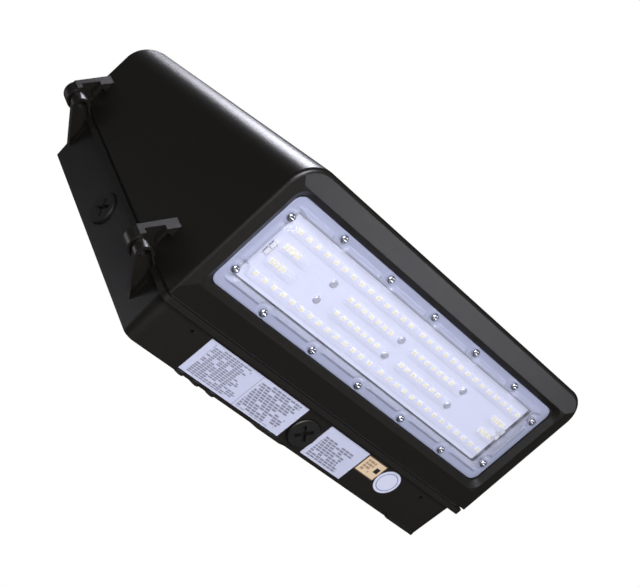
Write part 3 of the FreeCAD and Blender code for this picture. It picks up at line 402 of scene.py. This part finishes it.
class Rule(Nodes):
    """A geometry-nodes tree under construction, with named sizes."""

    def __init__(self, name, **sizes):
        self.name = name
        self.tree = bpy.data.node_groups.new(name, "GeometryNodeTree")
        self.sizes = sizes
        self.words = {}
        sockets = self.tree.interface
        sockets.new_socket("Geometry", in_out="OUTPUT", socket_type="NodeSocketGeometry")
        for word in sizes:
            socket = sockets.new_socket(word, in_out="INPUT", socket_type="NodeSocketFloat")
            self.words[word] = socket.identifier
        self.inputs = self.tree.nodes.new("NodeGroupInput")

    def size(self, word):
        return Wire(self.tree, self.inputs.outputs[word])

    def vector(self, x, y, z):
        return self.node("ShaderNodeCombineXYZ", {}, {0: x, 1: y, 2: z})

    def place(self):
        """The point's place in millimetres, as three wires."""
        return self.in_millimetres(self.node("GeometryNodeInputPosition", {}, {}))

    def finished(self, piece, material):
        return self.node("GeometryNodeSetMaterial", {}, {"Geometry": piece, "Material": material})

    def box(self, x, y, z, material, lift=0.0, along=0.0, across=0.0):
        """A small block of a size in millimetres, moved by an offset, in one finish."""
        size = self.vector(x * MM, y * MM, z * MM)
        block = self.node("GeometryNodeMeshCube", {}, {"Size": size})
        offset = self.vector(along * MM, across * MM, lift * MM)
        sockets = {"Geometry": block, "Translation": offset}
        return self.finished(self.node("GeometryNodeTransform", {}, sockets), material)

    def line(self, count, start, step):
        """Points in a row along a straight line, from a start and a step in millimetres."""
        return self.node("GeometryNodeMeshLine", {}, {
            "Count": count, "Start Location": tuple(c * MM for c in start),
            "Offset": tuple(c * MM for c in step)})

    def repeat(self, piece, points, turn):
        """A piece on every point, turned about the upright axis."""
        return self.node("GeometryNodeInstanceOnPoints", {}, {
            "Points": points, "Instance": piece, "Rotation": (0.0, 0.0, turn)})

    def join(self, pieces):
        made = self.tree.nodes.new("GeometryNodeJoinGeometry")
        for piece in pieces:
            self.tree.links.new(piece.value, made.inputs[0])
        return Wire(self.tree, made.outputs[0])

    def bake(self, result, body, slot):
        """Turn the tree's result into a plain mesh that rides on a body."""
        output = self.tree.nodes.new("NodeGroupOutput")
        real = self.node("GeometryNodeRealizeInstances", {}, {"Geometry": result})
        self.tree.links.new(real.value, output.inputs[0])
        holder = bpy.data.objects.new(self.name, bpy.data.meshes.new(self.name))
        bpy.context.collection.objects.link(holder)
        modifier = holder.modifiers.new("rule", "NODES")
        modifier.node_group = self.tree
        for word, value in self.sizes.items():
            modifier[self.words[word]] = value
        view = bpy.context.evaluated_depsgraph_get()
        made = bpy.data.meshes.new_from_object(holder.evaluated_get(view))
        holder.modifiers.remove(modifier)
        # the tree leaves empty material slots, which are dropped
        for index in reversed(range(len(made.materials))):
            if made.materials[index] is None:
                made.materials.pop(index=index)
        holder.data = made
        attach(holder, body)
        return holder


def drawn_in(x, y):
    """Where a point of the block goes when the block's corners are drawn in to an arc."""
    corner_x = (x.abs() - (LENS_LONG / 2 - LENS_CORNER)).most(0.0)
    corner_y = (y.abs() - (LENS_SHORT / 2 - LENS_CORNER)).most(0.0)
    far = reach(corner_x, corner_y).most(0.001)
    both = (corner_x > 0.0) * (corner_y > 0.0)
    pull = 1.0 + both * (corner_x.most(corner_y) / far - 1.0)
    return (x.sign() * (x.abs() - corner_x + corner_x * pull),
            y.sign() * (y.abs() - corner_y + corner_y * pull))


def screw_away(x, y):
    """The distance to the nearest lens screw."""
    step = (x / SCREW_PITCH).round().most(-SCREWS_ASIDE).least(SCREWS_ASIDE)
    row_screw = reach(x - step * SCREW_PITCH, y.abs() - SCREW_ROW)
    end_screw = reach(x.abs() - END_SCREW_X, y.abs() - END_SCREW_Y)
    return row_screw.least(end_screw)


def tube(rule, off):
    """A half-round rise about a line, 1 at its top, from the distance to the line."""
    share = (off / rule.size("tube_half")).abs().least(1.0)
    return (1.0 - share * share).root()


def row_tubes(rule, x, y):
    """Tubes over the LED rows: two whole ones outside, four short ones on each inner row."""
    outer = tube(rule, y.abs() - OUTER_ROW * ROW_PITCH) * (1.0 - x.abs().ease(*LONG_TUBE_END))
    shifted = (x - LED_SHIFT).abs()
    runs = (1.0 - (shifted - MID_RUN).abs().ease(*MID_TUBE_END)).most(
        1.0 - (shifted - END_RUN).abs().ease(*END_TUBE_END))
    inner = tube(rule, y.abs() - INNER_ROW * ROW_PITCH) * runs
    return outer.most(inner)


def lens_cover(material):
    """The clear cover: a flat rim, a middle raised between the screws, tubes over the LED rows."""
    rule = Rule("lens_cover", rise=1.9, slope=2.2, tube_rise=1.6, tube_half=3.7, scallop=6.3,
                collar_rise=0.5, hollow=0.8)
    block = rule.node("GeometryNodeMeshCube", {}, {
        "Size": (LENS_LONG * MM, LENS_SHORT * MM, LENS_THICK * MM),
        "Vertices X": COVER_GRID[0], "Vertices Y": COVER_GRID[1], "Vertices Z": 2})
    x, y, z = rule.place()
    new_x, new_y = drawn_in(x, y)
    # how far a point lies inside the raised middle, which is scalloped round the screws
    side = x.abs() - (LENS_LONG / 2 - RIM - MIDDLE_CORNER)
    end = y.abs() - (LENS_SHORT / 2 - RIM - MIDDLE_CORNER)
    edge = reach(side.most(0.0), end.most(0.0)) + side.most(end).least(0.0) - MIDDLE_CORNER
    screw = screw_away(x, y)
    inside = 0.0 - edge.most(rule.size("scallop") - screw)
    collar = screw.ease(*COLLAR_INNER_FLANK) * (1.0 - screw.ease(*COLLAR_OUTER_FLANK))
    height = (rule.size("rise") * inside.ease(0.0, rule.size("slope"))
              + rule.size("collar_rise") * collar
              + rule.size("tube_rise") * row_tubes(rule, x, y))
    # the outer face takes the whole height and the inner face a share of it, so it is a shell
    follow = (z < 0.0) + rule.size("hollow") * (z > 0.0)
    lowered = rule.vector(new_x * MM, new_y * MM, (z - height * follow) * MM)
    shaped = rule.node("GeometryNodeSetPosition", {}, {"Geometry": block, "Position": lowered})
    moved = rule.node("GeometryNodeTransform", {}, {"Geometry": shaped, "Translation": (
        0.0, LENS_MIDDLE_Y * MM, (LENS_FACE + LENS_THICK / 2) * MM)})
    smooth = rule.node("GeometryNodeSetShadeSmooth", {}, {"Geometry": moved})
    piece = rule.bake(rule.finished(smooth, material), "door", "lens_clear")
    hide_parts("lens")


def led_runs():
    """First place, pitch, count, row and turn of every run of LEDs."""
    long_runs = [(LONG_RUN, LONG_PITCH, LONG_COUNT, 0.0)]
    short_runs = [(MID_RUN, MID_PITCH, MID_COUNT, 0.0), (END_RUN, END_PITCH, END_COUNT, pi / 2)]
    runs = []
    for row, kinds in ((-OUTER_ROW, long_runs), (OUTER_ROW, long_runs),
                       (-INNER_ROW, short_runs), (INNER_ROW, short_runs)):
        for middle, pitch, count, turn in kinds:
            for side in (-1, 1):
                first = LED_SHIFT + side * middle - (count - 1) / 2 * pitch
                runs.append((first, pitch, count, row, turn))
    return runs


def led_packages(frame_plastic, phosphor, solder):
    """LED packages: a white moulded frame, a pale yellow window and two bright feet."""
    rule = Rule("led_packages", long=4.0, wide=3.0, high=0.62, window=0.1, border=0.42)
    long, wide, high, window, border = [rule.size(word) for word in rule.sizes]
    package = rule.join([
        rule.box(long, wide, high, frame_plastic, high * -0.5),
        rule.box(long - border * 2.0, wide - border * 2.0, window, phosphor,
                 (high + window * 0.5) * -1.0),
        rule.box(long + FOOT_REACH, wide - FOOT_INSET, FOOT_HIGH, solder, FOOT_HIGH * -0.5),
    ])
    lines = []
    for first, pitch, count, row, turn in led_runs():
        start = (first, LENS_MIDDLE_Y + row * ROW_PITCH, BOARD_FACE)
        lines.append(rule.repeat(package, rule.line(count, start, (pitch, 0.0, 0.0)), turn))
    piece = rule.bake(rule.join(lines), "door", "led_yellow")
    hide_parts("leds")


def wire_ends(shell, dark, tin):
    """Push-in wire connectors at both ends of the board's inner rows, their mouths outward."""
    rule = Rule("wire_connectors", long=4.4, wide=4.0, high=2.2)
    long, wide, high = [rule.size(word) for word in rule.sizes]
    entries = [wide * -ENTRY_OFF_MIDDLE, wide * ENTRY_OFF_MIDDLE]
    # each mouth is a near-black block of painted shade standing in for the dark inside of a wire
    # hole
    painted_hole_shades = [rule.box(*MOUTH, high * 0.55, dark, high * -0.56, long * 0.5 - MOUTH_SETBACK, entry)
              for entry in entries]
    tabs = [rule.box(*TAB, tin, high * -1.0, long * -0.25, entry) for entry in entries]
    block = rule.join([rule.box(long, wide, high, shell, high * -0.5), *painted_hole_shades, *tabs])
    pairs = []
    for x, turn in ((-CONNECTOR_X, pi), (CONNECTOR_X, 0.0)):
        start = (x, LENS_MIDDLE_Y - CONNECTOR_PITCH / 2, BOARD_FACE)
        pairs.append(rule.repeat(block, rule.line(2, start, (0.0, CONNECTOR_PITCH, 0.0)), turn))
    rule.bake(rule.join(pairs), "door", "board_white")


# ------------------------------------------------------------------ finishes of this light

BRONZE = (0.0088, 0.0078, 0.0052)
BRONZE_ROUGHNESS = 0.36
apply(powder_coat("bronze_powder_coat", BRONZE, BRONZE_ROUGHNESS), "back_box")
apply(powder_coat("bronze_housing_coat", BRONZE, BRONZE_ROUGHNESS, rolled=True), "door_housing")
apply(powder_coat("bronze_plug", (0.0072, 0.0064, 0.0046), 0.5),
      "conduit_plug_left", "conduit_plug_right", "conduit_plug_bottom", "conduit_plug_top")
apply(moulded("black_rubber", (0.014, 0.014, 0.015), 0.7),
      "door_gasket", "plug_washers", "wire_grommet")
apply(moulded("grey_silicone", (0.42, 0.44, 0.52), 0.5), "lens_gasket")
apply(bright_metal("stainless_head", (0.60, 0.61, 0.64), 0.19),
      "lens_screws", "door_screw_lower", "door_screw_upper")
apply(bright_metal("steel_pin", (0.62, 0.62, 0.64), 0.3), "hinge_pin_lower", "hinge_pin_upper")
apply(bright_metal("zinc_plate", (0.60, 0.62, 0.66), 0.42, streak=(900.0, 40.0, 40.0)),
      "driver_plate", "driver_screws", "terminal_screws")
apply(bright_metal("nickel_screw", (0.76, 0.77, 0.83), 0.5), "board_screws")
apply(moulded("green_zinc", (0.03, 0.22, 0.07), 0.35), "ground_screw")
apply(moulded("ivory_terminal", (0.70, 0.66, 0.55), 0.45), "terminal_block")
apply(moulded("surge_resin", (0.02, 0.05, 0.16), 0.3), "surge_protector")


def board_mask(name):
    """White solder mask with the tracks just showing under it."""
    finish = Finish(name)
    _, y, _ = finish.axes()
    track = (y - LENS_MIDDLE_Y) / ROW_PITCH * 2.0 + finish.noise(20.0, 1.0) * 0.2
    ribs = (track - track.round()).abs().between(0.36, 0.41)
    shade = finish.blend(finish.noise(60.0), *shades((0.72, 0.74, 0.85), 0.03))
    shade = finish.blend(ribs * 0.12, shade, (0.45, 0.48, 0.58))
    return finish.set(Base_Color=shade, Roughness=0.32, Normal=finish.bump(ribs, 0.2, 0.0002))


def driver_case(name):
    """White enamelled driver case with a plain grey plate on its top."""
    plate_x, plate_y, plate_above = (-80.0, 26.0), (-95.0, -65.0), -58.5
    finish = Finish(name)
    x, y, z = finish.axes()
    plate = x.between(*plate_x) * y.between(*plate_y) * (z > plate_above)
    shade = finish.blend(finish.noise(40.0), *shades((0.66, 0.67, 0.68), 0.05))
    shade = finish.blend(plate, shade, (0.30, 0.32, 0.35))
    return finish.set(Base_Color=shade, Roughness=0.34 + 0.1 * finish.noise(200.0),
                      Normal=finish.bump(finish.noise(700.0), 0.08, 0.0003))


apply(board_mask("white_solder_mask"), "led_board")
apply(driver_case("driver_enamel"), "driver")

# Stickers on the lower wall. A column of dashes has its edges along x and y, the pitch of its
# rows, the length of a dash and how far its rows may stop short, all in millimetres.
PAPER = (0.60, 0.62, 0.74)
ROUND_PAPER = (0.70, 0.72, 0.82)
BEIGE = (0.78, 0.60, 0.38)
INK = (0.13, 0.13, 0.16)
BROWN_INK = (0.25, 0.16, 0.10)
LEFT_COLUMN = dict(left=-98.5, right=-58.0, low=-28.9, high=-4.6,
                   pitch=1.55, dash=3.6, ragged=14.0)
RIGHT_COLUMN = dict(left=-53.0, right=-13.5, low=-28.9, high=-4.2,
                    pitch=2.0, dash=4.4, ragged=6.0)
MEDIUM_COLUMN = dict(left=16.5, right=50.0, low=-23.0, high=-4.6,
                     pitch=2.1, dash=4.2, ragged=9.0)
SMALL_COLUMN = dict(left=57.5, right=67.0, low=-28.0, high=-17.5,
                    pitch=2.6, dash=4.0, ragged=3.0)


def column_line(finish, shade):
    """One thin upright line between the two columns."""
    x, _, _ = finish.axes()
    return finish.blend(x.between(-55.5, -54.9) * 0.5, shade, INK)


def beige_marks(finish, shade):
    """A thin border and one dark square."""
    inside_x, inside_y = (55.3, 74.1), (-29.3, -16.1)
    square_x, square_y = (68.4, 72.4), (-25.2, -21.0)
    x, y, _ = finish.axes()
    border = 1.0 - x.between(*inside_x) * y.between(*inside_y)
    square = x.between(*square_x) * y.between(*square_y)
    shade = finish.blend(border, shade, (0.10, 0.06, 0.04))
    return finish.blend(square, shade, (0.012, 0.016, 0.014))


def ring_mark(finish, shade):
    """One plain ring near the rim of the round sticker."""
    middle_x, middle_y, ring = 85.0, -20.9, (7.2, 8.0)
    x, y, _ = finish.axes()
    out = reach(x - middle_x, y - middle_y)
    return finish.blend(out.between(*ring) * 0.75, shade, (0.10, 0.16, 0.34))


apply(paper("label_two_columns", PAPER, INK, [LEFT_COLUMN, RIGHT_COLUMN], column_line),
      "label_large")
apply(paper("label_one_column", PAPER, INK, [MEDIUM_COLUMN]), "label_medium")
apply(paper("label_beige", BEIGE, BROWN_INK, [SMALL_COLUMN], beige_marks), "label_small")
apply(paper("label_ring", ROUND_PAPER, INK, [], ring_mark), "label_round")


def clear_cover(name):
    """Clear moulded cover, a little milky, denser and greyer near its rim and on steep sides.

    Its grey-blue near the rim is a painted reflection, and its grey on steep sides is painted
    shade standing in for refraction. Its inner face is all but clear, so that the milkiness counts
    once and the LEDs show.
    """
    rim_milk_and_painted_reflection_band = (5.0, 13.0)
    finish = Finish(name)
    x, y, z = finish.axes()
    normal = finish.node("ShaderNodeTexCoord", {}, {}, "Normal")
    upright = finish.node("ShaderNodeSeparateXYZ", {}, {0: normal}, 2)
    slope = (1.0 - upright.abs()).most(0.0).least(1.0)
    side = x.abs() - (LENS_LONG / 2 - LENS_CORNER)
    end = (y - LENS_MIDDLE_Y).abs() - (LENS_SHORT / 2 - LENS_CORNER)
    inward = LENS_CORNER - reach(side.most(0.0), end.most(0.0)) - side.most(end).least(0.0)
    edge = 1.0 - inward.ease(*rim_milk_and_painted_reflection_band)
    inner_face = z > LENS_FACE + 0.5
    flow = finish.noise(18.0, 2.0)
    # painted light: the grey-blue near the rim is a painted reflection, and on steep sides it is
    # painted shade standing in for refraction
    shade = finish.blend(edge.most(slope), (0.88, 0.90, 1.0), (0.52, 0.56, 0.72))
    # the cloudiness is partly the cover's own milkiness and partly painted reflection and shade
    # near the rim and on steep sides
    cloud = 0.07 + edge * 0.50 + slope * 0.24 + flow * 0.05
    return finish.set(Base_Color=shade, Alpha=cloud * (1.0 - inner_face) + 0.02, Roughness=0.10,
                      IOR=1.58, Normal=finish.bump(flow, 0.05, 0.001))


lens_cover(clear_cover("clear_polycarbonate"))
led_packages(moulded("led_frame", (0.96, 0.96, 0.97), 0.35),
             moulded("led_phosphor", (0.93, 0.87, 0.50), 0.5),
             bright_metal("led_feet", (0.75, 0.75, 0.78), 0.3))
# the connectors' near-black mouths are painted shade for their wire holes
wire_ends(moulded("connector_shell", (0.78, 0.79, 0.82), 0.4),
          moulded("connector_painted_hole_shade", (0.02, 0.02, 0.025), 0.6),
          bright_metal("connector_tin", (0.7, 0.7, 0.72), 0.3))

# ------------------------------------------------------------------ studio

CAMERA_PLACE = Vector((-631.9, -257.5, -789.8)) * MM
CAMERA_RIGHT = Vector((0.605, -0.729, -0.320))
CAMERA_FORWARD = Vector((0.625, 0.186, 0.758))
SENSOR = 36.0
NEAREST_SEEN = 0.05
FOCAL_PIXELS = 1516.0
PHOTO_WIDTH = 640
PHOTO_HEIGHT = 587
PHOTO_CENTRE = (318.975, 293.429)
FLOOR_HEIGHT = -1.5
FLOOR_HALF = 3.0
SKY = 0.05
SKY_COLOUR = (0.93, 0.93, 1.0)
LAMP_COLOUR = (0.90, 0.90, 1.0)
AIM = Vector((0.0, -0.08, -0.05))


def camera():
    """The photograph's view: from the front left, far below the light, rolled to the right."""
    data = bpy.data.cameras.new("photo_camera")
    data.sensor_width = SENSOR
    data.lens = SENSOR * FOCAL_PIXELS / PHOTO_WIDTH
    data.shift_x = (PHOTO_WIDTH / 2 - PHOTO_CENTRE[0]) / PHOTO_WIDTH
    data.shift_y = (PHOTO_CENTRE[1] - PHOTO_HEIGHT / 2) / PHOTO_WIDTH
    data.clip_start = NEAREST_SEEN
    made = bpy.data.objects.new("photo_camera", data)
    forward = CAMERA_FORWARD.normalized()
    right = (CAMERA_RIGHT - forward * CAMERA_RIGHT.dot(forward)).normalized()
    up = right.cross(forward)
    turn = Matrix((right, up, -forward)).transposed().to_4x4()
    made.matrix_world = Matrix.Translation(CAMERA_PLACE) @ turn
    bpy.context.collection.objects.link(made)
    bpy.context.scene.camera = made


def lamp(name, place, size, power):
    """A square soft lamp at a place in metres, turned to the middle of the light."""
    data = bpy.data.lights.new(name, "AREA")
    data.shape = "SQUARE"
    data.size = size
    data.energy = power
    data.color = LAMP_COLOUR
    made = bpy.data.objects.new(name, data)
    made.location = place
    made.rotation_euler = (AIM - Vector(place)).to_track_quat("-Z", "Y").to_euler()
    bpy.context.collection.objects.link(made)


def floor():
    """A plain pale floor well below the light."""
    mesh = bpy.data.meshes.new("floor")
    corners = [(x * FLOOR_HALF, y * FLOOR_HALF, FLOOR_HEIGHT)
               for x, y in ((-1, -1), (1, -1), (1, 1), (-1, 1))]
    mesh.from_pydata(corners, [], [(0, 1, 2, 3)])
    made = bpy.data.objects.new("floor", mesh)
    finish = Finish("pale_floor")
    shade = finish.blend(finish.noise(3.0), (0.74, 0.74, 0.75), (0.80, 0.80, 0.81))
    mesh.materials.append(finish.set(Base_Color=shade, Roughness=0.8))
    bpy.context.collection.objects.link(made)


def world():
    """A faint even light all round, and white where the camera looks past the object.

    Gloss takes the faint light too, because the white would grey the dark coat.
    """
    made = bpy.data.worlds.new("studio")
    made.use_nodes = True
    bpy.context.scene.world = made
    tree = made.node_tree
    tree.nodes.clear()
    path = tree.nodes.new("ShaderNodeLightPath")
    seen = Wire(tree, path.outputs["Is Camera Ray"]).most(
        Wire(tree, path.outputs["Is Transmission Ray"]))
    lights = [add_node(tree, "ShaderNodeBackground", {}, {"Color": colour, "Strength": strength})
              for colour, strength in ((SKY_COLOUR, SKY), ((1.0, 1.0, 1.0), 1.0))]
    soft, white = [Wire(tree, light.outputs[0]) for light in lights]
    choice = add_node(tree, "ShaderNodeMixShader", {}, {0: seen, 1: soft, 2: white})
    output = tree.nodes.new("ShaderNodeOutputWorld")
    tree.links.new(choice.outputs[0], output.inputs[0])


bpy.context.scene.view_settings.view_transform = "Standard"
world()
floor()
camera()
lamp("beside_camera", (-0.75, -0.7, -1.48), size=1.0, power=68)
lamp("low_right", (0.92, -0.46, -1.22), size=0.5, power=3.6)
lamp("high_front", (-0.06, -0.80, 1.2), size=0.5, power=13)
lamp("high_wall_side", (-0.80, 0.95, 1.2), size=0.5, power=2.0)
